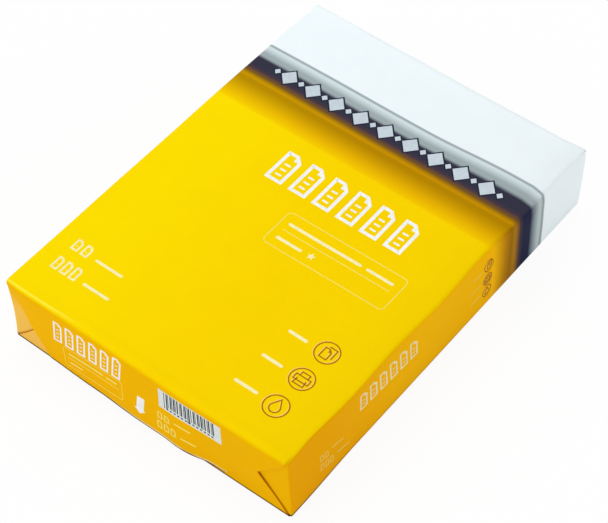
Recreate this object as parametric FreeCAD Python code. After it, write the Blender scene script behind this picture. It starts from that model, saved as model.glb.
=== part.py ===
"""A wrapped ream of A4 office paper, lying flat.

The stack of sheets is sealed in one sheet of coated wrapping paper, so the pack is one solid. The wrapper is a
tube along the ream with a glued overlap under it. At each short end the side panels are tucked in, the lower
flap is folded up over them, and the upper flap is folded down over both and glued.

Frame: X across the sheets' short side, Y along their long side with the near end at -Y, Z up. The origin is the
middle of the pack's underside, which it lies on. Lengths are millimetres and angles degrees.
"""

import FreeCAD, Part

import math
import os

# The paper inside
sheet_width = 210.0
sheet_length = 297.0
sheet_count = 500
sheet_thickness = 0.101

# The wrapper, and the room that it leaves round the stack
wrapper_thickness = 0.1
layers_above_stack = 1
layers_below_stack = 2
side_slack = 0.4
end_slack = 0.1

# How much further out each flap lies than the layer that it is folded over
fold_rise = 0.6

# The stack's skew: how far its top has slid past its bottom, along X
skew = -1.6

# How far the middle of each short end swells past its corners
near_bow = 2.0
far_bow = 0.4

# Rounding of the pack's edges
long_top_radius = 2.6
long_bottom_radius = 1.6
end_top_radius = 3.6
end_bottom_radius = 1.6
corner_radius = 1.8

# The flaps: where their free edges stop short of the pack's far edge, and how much their sides slant inwards
flap_margin = 2.2
near_left_slant = 31.0
near_right_slant = 38.5
far_slant = 38.0
lower_slant = 42.0

# The overlap on the underside: its free edge's place, and the hollow beside it where the inner layer comes down
overlap_edge_x = 12.0
overlap_rise = 0.3
hollow_width = 14.0

# Sizes that follow
pack_width = sheet_width + 2 * (wrapper_thickness + side_slack)
pack_height = sheet_count * sheet_thickness + (layers_above_stack + layers_below_stack) * wrapper_thickness
half_width = pack_width / 2
tuck_reach = sheet_length / 2 + wrapper_thickness + end_slack
lower_flap_reach = tuck_reach + fold_rise
upper_flap_reach = lower_flap_reach + fold_rise
stack_middle_y = (near_bow - far_bow) / 2
flap_length = pack_height - flap_margin

# How far a shape that cuts or picks out a piece runs past the pack
overrun = 5.0


def skewed(height):
    """How far the skew moves the pack along X at a height: half of it each way, and none half-way up."""
    return skew * (height / pack_height - 0.5)


def bowed_outline(reach):
    """The pack's outline at z = 0: straight long sides, and two short ends that swell to an arc."""
    near = stack_middle_y - reach
    far = stack_middle_y + reach
    left = skewed(0) - half_width
    right = skewed(0) + half_width
    middle = skewed(0)
    near_left = FreeCAD.Vector(left, near, 0)
    near_right = FreeCAD.Vector(right, near, 0)
    far_right = FreeCAD.Vector(right, far, 0)
    far_left = FreeCAD.Vector(left, far, 0)
    edges = [
        Part.Arc(near_left, FreeCAD.Vector(middle, near - near_bow, 0), near_right).toShape(),
        Part.LineSegment(near_right, far_right).toShape(),
        Part.Arc(far_right, FreeCAD.Vector(middle, far + far_bow, 0), far_left).toShape(),
        Part.LineSegment(far_left, near_left).toShape(),
    ]
    return Part.Wire(edges)


def edge_radius(edge):
    """The rounding of one edge of the sharp block, from the way it runs and where it lies."""
    box = edge.BoundBox
    if box.ZLength > pack_height / 2:
        return corner_radius
    on_top = box.ZMax > pack_height / 2
    if box.YLength > sheet_length / 2:
        return long_top_radius if on_top else long_bottom_radius
    return end_top_radius if on_top else end_bottom_radius


def soft_block(name, reach):
    """The whole pack out to one layer of its ends, with every edge rounded."""
    sharp = Part.Face(bowed_outline(reach)).extrude(FreeCAD.Vector(skew, 0, pack_height))
    base = document.addObject("Part::Feature", name)
    base.Shape = sharp
    rounded = document.addObject("Part::Fillet", name + "_rounded")
    rounded.Base = base
    rounded.Edges = [(number, edge_radius(edge), edge_radius(edge)) for number, edge in enumerate(sharp.Edges, 1)]
    document.recompute()
    return rounded.Shape


def flap_prism(end, fold_height, free_height, left_slant, right_slant):
    """A flap's outline, from its fold to its free edge, carried along Y through one end of the pack.

    end is -1 for the near end and 1 for the far one. Left and right are -X and +X.
    """
    start = stack_middle_y + end * (sheet_length / 2 - overrun)
    run = upper_flap_reach - sheet_length / 2 + max(near_bow, far_bow) + 2 * overrun
    left_inset = abs(fold_height - free_height) * math.tan(math.radians(left_slant))
    right_inset = abs(fold_height - free_height) * math.tan(math.radians(right_slant))
    at_fold = skewed(fold_height)
    at_free_edge = skewed(free_height)
    corners = [
        FreeCAD.Vector(at_fold - half_width, start, fold_height),
        FreeCAD.Vector(at_fold + half_width, start, fold_height),
        FreeCAD.Vector(at_free_edge + half_width - right_inset, start, free_height),
        FreeCAD.Vector(at_free_edge - half_width + left_inset, start, free_height),
    ]
    outline = Part.makePolygon(corners + corners[:1])
    return Part.Face(outline).extrude(FreeCAD.Vector(0, end * run, 0))


def overlap_hollow():
    """The shallow wedge that the underside lacks beside the overlap: deepest at its free edge, fading away."""
    start = stack_middle_y - upper_flap_reach - near_bow - overrun
    run = 2 * (upper_flap_reach + overrun) + near_bow + far_bow
    corners = [
        FreeCAD.Vector(overlap_edge_x, start, 0),
        FreeCAD.Vector(overlap_edge_x, start, overlap_rise),
        FreeCAD.Vector(overlap_edge_x + hollow_width, start, 0),
    ]
    outline = Part.makePolygon(corners + corners[:1])
    return Part.Face(outline).extrude(FreeCAD.Vector(0, run, 0))


def wrapped_ream():
    """The pack out to the tucked-in side panels, with the lower and the upper flap laid on at each end."""
    pack = soft_block("tucked", tuck_reach)
    to_lower_flaps = soft_block("to_lower_flaps", lower_flap_reach)
    to_upper_flaps = soft_block("to_upper_flaps", upper_flap_reach)
    for end, left_slant, right_slant in ((-1, near_left_slant, near_right_slant), (1, far_slant, far_slant)):
        lower = flap_prism(end, 0, flap_length, lower_slant, lower_slant)
        upper = flap_prism(end, pack_height, pack_height - flap_length, left_slant, right_slant)
        pack = pack.fuse(to_lower_flaps.common(lower))
        pack = pack.fuse(to_upper_flaps.common(upper))
    return pack.cut(overlap_hollow())


document = FreeCAD.newDocument("ream")
os.makedirs("parts", exist_ok=True)
ream = wrapped_ream()
print("solids", len(ream.Solids), "valid", ream.isValid(), "volume in litres", round(ream.Volume / 1e6, 4))
ream.Solids[0].exportStep("parts/wrapped_ream.step")
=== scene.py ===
"""A wrapped ream of A4 office paper: its looks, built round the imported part.

The wrapper is one closed loft, from the middle of the near end to the middle of the far end. Folded flaps
lie on its ends. The print is broad stripes in the paper's own material, and small marks that are thin raised
strips and plates on its panels. The small marks are plain page outlines, bars, rings and lozenges.

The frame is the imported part's: X across the sheets' short side, Y along their long side with the near end at
-Y, and Z up. Lengths are metres, apart from the tables of stripes and marks, which say that they are in
millimetres.
"""

import math

import bpy
import numpy as np
from bpy.props import FloatProperty, FloatVectorProperty, IntProperty, PointerProperty
from mathutils import Matrix, Vector


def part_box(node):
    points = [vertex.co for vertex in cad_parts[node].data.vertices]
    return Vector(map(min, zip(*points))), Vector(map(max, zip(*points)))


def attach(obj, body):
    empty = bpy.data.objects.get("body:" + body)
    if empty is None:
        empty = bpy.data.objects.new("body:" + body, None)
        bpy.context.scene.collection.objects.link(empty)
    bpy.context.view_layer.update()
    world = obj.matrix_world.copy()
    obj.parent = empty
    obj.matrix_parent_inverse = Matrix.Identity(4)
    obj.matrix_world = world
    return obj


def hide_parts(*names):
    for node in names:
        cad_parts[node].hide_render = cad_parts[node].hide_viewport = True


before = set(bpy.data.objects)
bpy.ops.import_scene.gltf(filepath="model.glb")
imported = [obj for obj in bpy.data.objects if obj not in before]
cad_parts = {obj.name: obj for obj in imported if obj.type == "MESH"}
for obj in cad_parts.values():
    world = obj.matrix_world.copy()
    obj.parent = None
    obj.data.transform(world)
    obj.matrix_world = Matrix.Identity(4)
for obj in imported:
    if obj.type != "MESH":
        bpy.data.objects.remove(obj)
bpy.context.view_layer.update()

bl_info = {
    "name": "Wrapped ream of paper",
    "version": (1, 0, 0),
    "blender": (4, 5, 0),
    "location": "3D View > Sidebar > Ream",
    "description": "Builds the wrapper, its folds, its print and a plain stage for a ream of paper",
    "category": "Object",
}

NODE = "wrapped_ream"
BODY = "root"
MM = 0.001

# The pack's two ends, each as the way that it faces along Y
NEAR = -1
FAR = 1

# The photograph's width, in pixels
IMAGE_WIDTH = 608

# How far apart points lie: on the wrapper, on a flap's lead, on the rest of a flap, and on a mark
SLEEVE_STEP = 2.4 * MM
LEAD_STEP = 1.5 * MM
FLAP_STEP = 1.6 * MM
MARK_STEP = 2.0 * MM

# Points in a quarter turn of a rounded edge, rows from an end's rim to its middle, and points round a flap's
# folded side
ARC_POINTS = 6
END_ROWS = 26
LIP_POINTS = 6

# How far in from an end's rim its first row lies, as a share of the way to the middle
FIRST_ROW = 0.03

# The wrapper's long shallow waves: how many, how short and how long, and the height over which they fade in
WAVE_COUNT = 7
WAVE_LENGTHS = (60 * MM, 150 * MM)
WAVE_FADE = 12 * MM

# The waves in the wrapper's long top edge at +X: from crest to crest, a crest's Y, and how far in they lie
EDGE_WAVE_PITCH = 88 * MM
EDGE_WAVE_CREST = -90 * MM
EDGE_WAVE_INSET = 0.45

# Those waves grow from nothing to full between two distances in from the side, from a share of the height to
# a distance below the top, and over a distance from the near end
EDGE_WAVE_IN = (20 * MM, 2 * MM)
EDGE_WAVE_UP = (0.4, 3 * MM)
EDGE_WAVE_ALONG = 25 * MM

# Where the flare and the droop of the far corner at +X start across, as a share of the half width, and how
# far back along Y each reaches
CORNER_START = 0.45
FLARE_REACH = 125 * MM
DROOP_REACH = 30 * MM

# How far along X and along Y the near left upright edge is drawn in
HOLLOW_REACH = (40 * MM, 90 * MM)

# How far from the near end the near bottom corner's flare starts to fade, and where it is gone
FOOT_FADE = (8 * MM, 62 * MM)

# An end's rounding at its corners, as a share of the long edge's own, and how far in from the right and from
# the left corner it starts to grow and is full
LEAST_ROUNDING = 0.85
ROUNDING_RIGHT = (0, 15 * MM)
ROUNDING_LEFT = (15 * MM, 65 * MM)

# How wide the step at the overlap's free edge is
OVERLAP_STEP = 0.02 * MM

# How far a flap's sheet reaches back over the panel that it leaves, and how deep under its surface it starts
UPPER_LEAD = 9.0 * MM
LOWER_LEAD = 2.0 * MM
UNDER_PANEL = 0.02 * MM

# Where a flap comes out of the panel: shares of its lead and of its quarter turn
EMERGE = (0.2, 0.9)

# How far in from the upright edge a flap's side starts at its fold
FLAP_START = 1.5 * MM

# Up to which share of its radius a flap follows a long edge's rounding
MOST_DROP = 0.95

# From which share of a flap's reach its sheet thins, and the near upper flap's free edge rises
THINNING = 0.6
FREE_EDGE_START = 0.4

# How wide a flap's bare cut edge is, and the places of its rows of points as shares of that
CUT_EDGE = 2.1 * MM
CUT_ROWS = (1.0, 0.7, 0.5, 0.3, 0.12, 0.0)

# What a flap's folded sides carry in the fold_edge attribute, which is 0 elsewhere
FOLD_MARK = 0.85

# The bump where the near flaps' sides cross at the right: its height and its reach
SWELL = 0.55 * MM
SWELL_REACH = 15 * MM

# Where the near upper flap's belly rises and where it falls, along X
BELLY_RISE = (-80 * MM, -5 * MM)
BELLY_FALL = (22 * MM, 48 * MM)

# How the near upper flap's free edge rises from left to right: each step's start, its end and its height
FREE_EDGE_STEPS = (
    (-96 * MM, -84 * MM, 1.05 * MM),
    (-50 * MM, -25 * MM, 1.15 * MM),
    (12 * MM, 34 * MM, -2.65 * MM),
    (34 * MM, 54 * MM, 3.6 * MM),
)

# The near upper flap's ripple. How it comes down to the side panel along its left side: how far, how far in
# from the side, and how far above the crossing it starts and is full.
RIPPLE = 0.12 * MM
RIPPLE_PITCH = (58 * MM, 90 * MM)
HUG = 0.8 * MM
HUG_REACH = 5 * MM
HUG_RISE = (2 * MM, 12 * MM)

# How far a mark's face stands off the paper, the same for a mark on top of others, and how far in its back is
MARK_RISE = 0.05 * MM
UPPER_MARK_RISE = 0.10 * MM
MARK_SINK = 0.06 * MM

# How many steps a strip's points may lie apart across it, how near to its corner another point may lie, as a
# share of a step, and the cosine of half a turn past which the corner is cut short
ACROSS_STEPS = 1.5
NEAREST_POINT = 0.2
LEAST_COSINE = 0.35

# A bar's round end: the angles of its first and last row of points, in degrees, and how many rows it has
BAR_END = (20, 90, 6)

# Where each stripe's colours lie, as Y in millimetres, on the top panel and on a side. A side's colours
# are deeper copies of the top's: painted shade.
TOP_STRIPES = (
    (46.4, "yellow"), (47.9, "amber"), (54.0, "amber_middle"), (60.0, "ochre"), (66.0, "deep_amber"),
    (68.2, "deep_amber"), (69.9, "streak"), (71.2, "deep_amber"), (73.7, "brown"), (77.2, "plum"),
    (79.8, "dark"), (87.0, "dark"), (89.4, "grey"), (92.2, "grey"), (97.6, "pale_grey"), (98.7, "pale_grey"),
    (99.6, "edge_line"), (100.4, "edge_line"), (101.6, "white"),
)
SHADED_SIDE_STRIPES = (
    (49.0, "side_yellow"), (51.0, "side_amber"), (63.5, "side_ochre"), (69.8, "side_deep_amber"),
    (72.5, "side_streak"), (74.2, "side_streak"), (79.2, "side_plum"), (83.0, "side_dark"),
    (90.6, "side_dark"), (94.2, "side_grey"), (100.0, "side_pale_grey"), (102.4, "side_pale_grey"),
    (103.5, "side_line"), (104.7, "side_line"), (106.2, "white"),
)

# Where the paper's looks change: what is measured, where the change starts and where it is complete. Most go
# by the place on the pack, and the last ones by which way the surface faces.
BANDS = {
    "tinted": ("across", -110 * MM, 30 * MM),
    "tint_end": ("along", 71 * MM, 77 * MM),
    "widened": ("across", 20 * MM, 85 * MM),
    "narrowed": ("across", 96 * MM, 106 * MM),
    "dark_stripe": ("along", 76 * MM, 98 * MM),
    "leaning": ("along", 60 * MM, 85 * MM),
    "leaning_up": ("height", 10 * MM, 45 * MM),
    "under_top": ("height", 42 * MM, 51 * MM),
    "deepest": ("along", -130 * MM, -20 * MM),
    "rightwards": ("across", -110 * MM, 110 * MM),
    "right_edge": ("across", 78 * MM, 105 * MM),
    "print": ("along", 10 * MM, 60 * MM),
    "rub_height": ("height", 40 * MM, 46 * MM),
    "rub_end": ("across", -75 * MM, -45 * MM),
    "fade_end": ("across", -62 * MM, -40 * MM),
    "fade_height": ("height", 26 * MM, 46 * MM),
    "bare_start": ("across", -45 * MM, 5 * MM),
    "foot": ("height", 2.0 * MM, 2.7 * MM),
    "clean_foot": ("along", -140 * MM, -70 * MM),
    "line_narrows": ("across", -25 * MM, 15 * MM),
    "on_top": ("facing_up", 0.30, 0.90),
    "on_side": ("facing_side", 0.3, 0.7),
    "fold_start": ("facing_near", 0.02, 0.20),
    "fold_end": ("facing_near", 0.35, 0.65),
    "on_end": ("facing_near", 0.5, 0.9),
    "off_underside": ("facing_up", -0.95, -0.80),
}

# The same for the shares of the way to a flap's cut edge and to its folded sides: where the cut edge is
# bare, where the painted shadow under it starts, and where the painted shade along the folded sides lies
CUT_BARE = (0.04, 0.16)
CUT_SHADOW = (0.50, 0.58)
FOLD_GAP_SHADE = (0.48, 0.62)

# How much wider the top's dark stripe gets to the right, and what share of that is lost again on the edge.
# How far the side's stripes lean towards the near end as they rise, and how much further just under the top.
WIDENING = 2.6 * MM
NARROWING = 0.6
LEAN = 2.2 * MM
LEAN_UNDER_TOP = 1.4 * MM

# The print's brightness, and how much painted shade darkens it towards the right and at the top's
# right edge
BRIGHTNESS = 1.012
PAINTED_SHADE_RIGHT = 0.045
PAINTED_SHADE_EDGE = 0.045

# How strongly each one covers the print: the painted highlight along the fold, the paler corner, the
# painted shade along the gap, the bare cut edge, and the painted shadow
COVER_STRENGTH = {"fold": 0.85, "faded": 0.9, "gap": 0.9, "bare": 0.75, "grime": 0.9}

# What share of the painted shadow round the foot is gone past the near end, and how much sooner the
# painted shadow under a cut edge starts at the left
FOOT_SHADOW_LOSS = 0.65
WIDER_LINE = 0.2

# The paper's texture: how many spots of each kind lie to a metre, and how finely they are broken up
CLOUDS = (55, 3)
DENTS = (160, 2)
FIBRES = (1300, 3)
INK_PATCHES = (420, 2)

# The shares that these have in the bump, its strength and its depth
DENT_BUMP = 0.55
FIBRE_BUMP = 0.22
CLOUD_BUMP = 0.5
BUMP_STRENGTH = 0.35
BUMP_DEPTH = 0.25 * MM

# How much more the fibres mottle the colour than the clouds do, how far the gloss varies, and its strength
FIBRE_MOTTLE = 1.4
GLOSS_CHANGE = 0.16
SPECULAR = 0.006

# Roughness and mottle of the printed paper and of the inks of the small marks
PAPER_FINISH = (0.46, 0.045)
INK_FINISH = (0.42, 0.05)

# How bright ink is where it lies thin, and where its patches turn from thin to full
THIN_INK = 0.93
PATCH_EDGE = (0.35, 0.65)

# A page's outline: its fold's share of the width, the fold's gap in half thicknesses, the lines' margin and
# their thickness in thicknesses, and the space between two pages of a row as a share of their pitch
PAGE_FOLD = 0.42
FOLD_SPACE = 1.5
LINE_MARGIN = 1.3
LINE_THICK = 0.6
PAGE_SPACE = 0.28

# The printed pieces, in millimetres on their panels, as (u, v). Where one runs askew, that is given first.
# pages: the row's low and high corner, how many pages, how thick their outlines are, and the lines on each.
# boxes: low and high corner, the corners' radius, and how thick the line is.
# rules and bars: start and end along u, their v, and how thick they are. stars: middle and radius.
PRINT = {
    "page_row_top": {
        "panel": "top", "ink": "white_ink",
        "pages": [((-37.0, 9.2), (65.6, 34.8), 6, 2.3, 3)],
    },
    "page_row_near": {
        "panel": "near", "ink": "white_ink", "askew": {"slope": 0.085, "lean": 0.11, "pivot": (-69, 25)},
        "pages": [((-69, 25.4), (-16, 43.4), 6, 1.3, 3)],
    },
    "page_row_side": {
        "panel": "side", "ink": "side_ink", "askew": {"slope": -0.06, "pivot": (-82, 29)},
        "pages": [((-82.2, 29.0), (-27.0, 42.6), 6, 1.25, 2)],
    },
    "small_print_top": {
        "panel": "top", "ink": "cream_ink",
        "bars": [(-1.0, 53.0, -11.8, 2.1), (56.5, 76.5, -11.8, 2.1), (-1.0, 18.3, -24.2, 2.1),
                 (48.7, 62.7, -75.0, 2.1), (47.1, 62.2, -97.5, 2.1), (46.0, 62.9, -120.5, 2.1),
                 (-73, -52, -104.2, 1.9), (-67, -47, -122.2, 1.9)],
        "stars": [((25.1, -23.9), 2.9)],
        "pages": [((-91.5, -106.8), (-78.6, -98.0), 2, 1.2, 1),
                  ((-91.5, -124.4), (-72.6, -114.6), 3, 1.2, 1)],
    },
    "frame_top": {
        "panel": "top", "ink": "line_ink",
        "boxes": [((-6.1, -31.4), (82.2, -3.7), 3, 0.5)],
        "rules": [(-1.2, 77, -17.4, 0.5)],
    },
    "frame_near": {
        "panel": "near", "ink": "line_ink", "askew": {"slope": 0.095, "pivot": (-62, 8)},
        "boxes": [((-62, 7.6), (-15, 24.2), 1.8, 0.35)],
        "rules": [(-59, -18, 15.8, 0.35)],
        "bars": [(-58.0, -30.0, 19.8, 1.2), (-28.0, -19.0, 19.8, 1.2), (-58.0, -47.5, 11.8, 1.2)],
    },
    "small_print_near": {
        "panel": "near", "ink": "line_ink",
        "pages": [((12.3, 19.6), (21.0, 25.4), 2, 0.75, 0), ((11.8, 10.8), (25.5, 17.0), 3, 0.75, 0)],
        "bars": [(24.6, 36.5, 23.2, 1.1), (28.5, 39.5, 12.6, 1.1)],
    },
    "small_print_side": {
        "panel": "side", "ink": "faint_ink", "askew": {"slope": -0.26, "pivot": (-120, 20)},
        "pages": [((-120.2, 21.4), (-112.4, 26.9), 2, 0.7, 0), ((-120.2, 12.9), (-107.8, 19.0), 3, 0.7, 0)],
        "bars": [(-108.8, -98.0, 26.2, 1.0), (-104.4, -92.6, 17.6, 1.0)],
    },
    "labels_side": {
        "panel": "side", "ink": "faint_ink",
        "bars": [(29.5, 39.7, 34.5, 0.9), (27.2, 37.6, 24.7, 0.9), (28.0, 37.0, 15.2, 0.9)],
    },
}

# The ringed symbols, in millimetres on their panels: the rings' middles and radius, the symbols' size, how
# thick the lines are, and how far aside the paler echo lies
SYMBOLS = {
    "top": {
        "middles": ((76.2, -74.0), (76.2, -97.4), (76.2, -121.0)),
        "radius": 7.7, "size": 9.8, "thick": 0.75, "echo": (-0.75, 0.15),
    },
    "side": {
        "middles": ((46.2, 35.4), (45.0, 24.4), (44.8, 13.6)),
        "radius": 4.3, "size": 5.6, "thick": 0.85, "echo": (-0.25, 0.1),
    },
}

# The barcode's field on the near end, in millimetres
FIELD_LEFT = 14.0
FIELD_RIGHT = 59.3
FIELD_LOW = 31.0
FIELD_HIGH = 47.0

# Its bars: the room beside them, above them and below them, the long ones and the room below those, and the
# width that each bar and gap has one, two or three of
BAR_ROOM_LEFT = 4.2
BAR_ROOM_RIGHT = 4.6
BAR_ROOM_ABOVE = 0.6
BAR_ROOM_BELOW = 4.0
LONG_BARS = (0, 1, 12, 13)
LONG_BAR_ROOM = 1.4
BAR_UNIT = 0.42

# The dashes under the bars: the room beside them, their pitch, length and height, and their place
DASH_ROOM_LEFT = 5.8
DASH_ROOM_RIGHT = 6.0
DASH_PITCH = 2.7
DASH_LENGTH = 1.5
DASH_HEIGHT = 1.1
DASH_LEVEL = 2.2

# The arrow on the near end, in millimetres: its middle, how it leans about its pivot, and its outline as a
# height and the width there, from the tail to the point
ARROW_MIDDLE = -1.0
ARROW_LEAN = 0.11
ARROW_PIVOT = 19.0
ARROW_OUTLINE = ((26.9, 5.6), (15.6, 5.6), (15.55, 8.4), (11.8, 0.4))

# The row of lozenges on the dark stripe, in millimetres: its place, and the pitch of each of its two kinds
LOZENGE_PLACE = 84.0
LOZENGE_PITCH = 19.0

# The two kinds, the large and the small: how many, and half the width and half the height of rim and filling
LOZENGES = (
    {"count": 9, "rim": (7.6, 8.4), "filling": (6.2, 6.9)},
    {"count": 10, "rim": (3.4, 3.8), "filling": (2.3, 2.6)},
)

# The soft lamps: the direction that each one's light comes from, its strength, and its width in degrees
LAMPS = {
    "high_light": ((-0.35, 0.25, 0.90), 0.97, 50),
    "front_light": ((-0.40, -0.80, 0.45), 0.60, 40),
    "side_light": ((0.90, -0.10, 0.40), 0.40, 50),
}

# The floor: how far it reaches each way, how far below the pack it lies, and its shade of grey in the shadow
FLOOR_REACH = 5.0
FLOOR_DROP = 0.1 * MM
FLOOR_SHADE = 0.97


def srgb(red, green, blue):
    """A colour written from 0 to 255 as it shows on a screen, as the linear values that a shader takes."""
    def linear(value):
        share = value / 255
        return share / 12.92 if share <= 0.04045 else ((share + 0.055) / 1.055) ** 2.4
    return linear(red), linear(green), linear(blue)


def length(name, description, value):
    """A size in metres that a user can change."""
    return FloatProperty(name=name, description=description, default=value, unit="LENGTH", precision=5)


def angle(name, description, degrees):
    """An angle that a user can change."""
    return FloatProperty(name=name, description=description, default=math.radians(degrees), subtype="ANGLE")


def colour(name, description, red, green, blue):
    """A colour that a user can change."""
    return FloatVectorProperty(name=name, description=description, default=srgb(red, green, blue),
                               subtype="COLOR", min=0.0, max=1.0)


class ReamShape(bpy.types.PropertyGroup):
    """Sizes of the wrapper and its folds."""

    skew: length("Skew", "How far the stack's top has slid past its bottom, along X", -1.6 * MM)
    near_room: length("Near room", "How far inside the packed box the near end's corners lie", 3.2 * MM)
    far_room: length("Far room", "How far inside the packed box the far end's corners lie", 2.0 * MM)
    near_bow: length("Near bow", "How far the near end's middle swells past its corners", 0.8 * MM)
    far_bow: length("Far bow", "How far the far end's middle swells past its corners", -0.4 * MM)
    fold_rise: length("Fold rise", "How much further out each flap lies than the layer under it", 0.6 * MM)
    long_top: length("Long top rounding", "Radius of the top panel's long edges", 2.4 * MM)
    long_bottom: length("Long bottom rounding", "Radius of the underside's long edges", 1.2 * MM)
    end_top: length("End top rounding", "Radius of the top panel's near edge", 3.6 * MM)
    far_top: length("Far top rounding", "Radius of the top panel's far edge", 4.6 * MM)
    end_bottom: length("End bottom rounding", "Radius of the underside's short edges", 1.3 * MM)
    corner: length("Corner rounding", "Radius of the upright edges", 1.8 * MM)
    near_left_slant: angle("Near left slant", "Slant of the near upper flap's left side", 31.0)
    near_right_slant: angle("Near right slant", "Slant of the near upper flap's right side", 42.8)
    far_slant: angle("Far slant", "Slant of the far upper flap's sides", 38.0)
    lower_slant: angle("Lower slant", "Slant of the lower flaps' sides", 42.0)
    lower_right_slant: angle("Lower right slant", "Slant of the near lower flap's right side", 38.1)
    flap_margin: length("Flap margin", "Where an upper flap's free edge stops above the underside", 1.3 * MM)
    belly: length("Belly", "How far the near upper flap's free edge stands off in its middle", 2.6 * MM)
    lower_flap: length("Lower flap", "How high a lower flap reaches", 38.0 * MM)
    sheet: length("Folded edge", "Thickness of a flap at its folded sides", 0.34 * MM)
    free_edge: length("Free edge", "Thickness of a flap at its free edge", 0.16 * MM)
    overlap_edge: length("Overlap edge", "Where the overlap on the underside ends, along X", 12.0 * MM)
    overlap_rise: length("Overlap rise", "Depth of the hollow beside the overlap", 0.3 * MM)
    hollow: length("Hollow width", "Width of the hollow beside the overlap", 14.0 * MM)
    slack: length("Slack", "Size of the wrapper's long shallow waves", 0.10 * MM)
    wave_seed: IntProperty(name="Wave seed", description="Picks the wrapper's long shallow waves", default=11)
    edge_wave: length("Edge wave", "Size of the waves in the wrapper's long edge at +X", 0.7 * MM)
    corner_hollow: length("Corner hollow", "How far the near left upright edge is drawn in", 1.6 * MM)
    left_bow: length("Left bow", "How far the long top edge at -X swells out in its middle", 0.7 * MM)
    flare: length("Flare", "How far the top panel's far corner at +X stands out", 2.3 * MM)
    droop: length("Droop", "How far the top panel's far corner at +X hangs down", 1.4 * MM)
    near_flare: length("Near flare", "How far the near bottom corner at +X stands out", 1.0 * MM)


class ReamStripes(bpy.types.PropertyGroup):
    """Colours of the printed stripes, of the bare cut edge, and of painted light and shade. The sides' stripes
    are deeper copies of the top panel's: painted shade.
    """

    yellow: colour("Yellow", "Top panel's yellow", 255, 224, 0)
    warmth: colour("Warmth", "Tint of the top panel's yellow and amber towards the right", 255, 246, 255)
    amber: colour("Amber", "Amber stripe beside the yellow", 250, 210, 0)
    amber_middle: colour("Middle amber", "Amber stripe where it starts to darken", 235, 187, 2)
    ochre: colour("Ochre", "Amber stripe's darker half", 209, 163, 1)
    deep_amber: colour("Deep amber", "Amber stripe's dark side", 185, 140, 1)
    streak: colour("Streak", "Thin lighter line beside the brown", 206, 153, 4)
    brown: colour("Brown", "Between the amber and the dark stripe", 126, 91, 30)
    plum: colour("Plum", "Dark stripe's near side", 74, 58, 68)
    dark: colour("Dark", "Dark stripe", 54, 54, 71)
    grey: colour("Grey", "Grey stripe", 161, 174, 178)
    pale_grey: colour("Pale grey", "Grey stripe's bright part", 214, 228, 232)
    edge_line: colour("Edge line", "Thin line between grey and white", 160, 173, 177)
    white: colour("White", "White end", 243, 252, 255)
    # The sides' and ends' colours, down to the side edge line, are deeper copies of the top's: painted shade
    side_yellow: colour("Side yellow", "Yellow of the sides and ends", 248, 187, 0)
    side_amber: colour("Side amber", "Amber stripe beside the yellow, on a side", 250, 190, 3)
    side_ochre: colour("Side ochre", "Amber stripe's darker half, on a side", 186, 128, 2)
    side_deep_amber: colour("Side deep amber", "Amber stripe's dark side, on a side", 152, 106, 5)
    side_streak: colour("Side streak", "Thin lighter line, on a side", 168, 119, 14)
    side_plum: colour("Side plum", "Dark stripe's near side, on a side", 78, 58, 60)
    side_dark: colour("Side dark", "Dark stripe, on a side", 33, 37, 64)
    side_grey: colour("Side grey", "Grey stripe, on a side", 122, 134, 143)
    side_pale_grey: colour("Side pale grey", "Grey stripe's bright part, on a side", 187, 199, 201)
    side_line: colour("Side edge line", "Thin line between grey and white, on a side", 150, 162, 164)
    side_deep: colour("Side deep yellow", "Yellow of the sides towards the near end", 240, 169, 0)
    # A paler, whiter yellow on the panel tucked in at the near left corner
    faded: colour("Faded yellow", "Yellow of the panel tucked in at the near left corner", 249, 199, 92)
    # Painted highlight: a lighter yellow along the near fold
    fold: colour("Fold", "Ink rubbed thin along the near fold", 255, 240, 70)
    bare: colour("Bare paper", "Cut edge of a flap", 252, 240, 196)
    # Painted shadow: dark under a flap's cut edge and round the bottom edge
    grime: colour("Grime", "Under a cut edge and round the bottom edge", 84, 56, 8)
    # Painted shade in the crease along the lower flaps' folded sides
    gap: colour("Gap", "Along the lower flaps' folded sides", 196, 110, 2)


class ReamInks(bpy.types.PropertyGroup):
    """Colours of the small printed marks."""

    white_ink: colour("White ink", "Rows of pages and the arrow", 250, 252, 250)
    cream_ink: colour("Cream ink", "Bars and small pages on the top panel", 255, 247, 190)
    line_ink: colour("Line ink", "Thin frames, and bars on the near end", 250, 236, 120)
    side_ink: colour("Side ink", "Row of pages on the side", 244, 230, 178)
    faint_ink: colour("Faint ink", "Bars and small pages on the side", 242, 204, 96)
    brown_ink: colour("Brown ink", "Rings and their symbols", 178, 112, 8)
    echo_ink: colour("Echo ink", "Thin lines beside the rings and their symbols", 255, 214, 96)
    bar_ink: colour("Bar ink", "Barcode's bars and the lozenges' rims", 40, 44, 62)
    label_ink: colour("Label ink", "Barcode's field", 226, 234, 230)
    pale_blue_ink: colour("Pale blue ink", "Lozenges", 205, 217, 226)


class ReamStage(bpy.types.PropertyGroup):
    """Camera, light and floor."""

    azimuth: angle("Azimuth", "Camera's turn round the pack", 38.06)
    elevation: angle("Elevation", "Camera's height above the horizon", 50.69)
    roll: angle("Roll", "Camera's tilt about its own axis", -0.04)
    distance: length("Distance", "From the camera to its target", 1.1894)
    target: FloatVectorProperty(name="Target", description="Point that the camera looks at",
                                default=(10.41 * MM, -12.86 * MM, 25.0 * MM), subtype="TRANSLATION",
                                unit="LENGTH")
    focal: FloatProperty(name="Focal length", description="In the photograph's pixels", default=1960.3)
    world_light: FloatProperty(name="World light", description="Strength of the even light", default=0.55)
    floor_share: FloatProperty(name="Floor glow", description="Share of the floor's white that has no shadow",
                               default=0.92)


def settings(name):
    """One of the groups of sizes and colours, as the scene holds it."""
    return getattr(bpy.context.scene, "ream_" + name)


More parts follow.
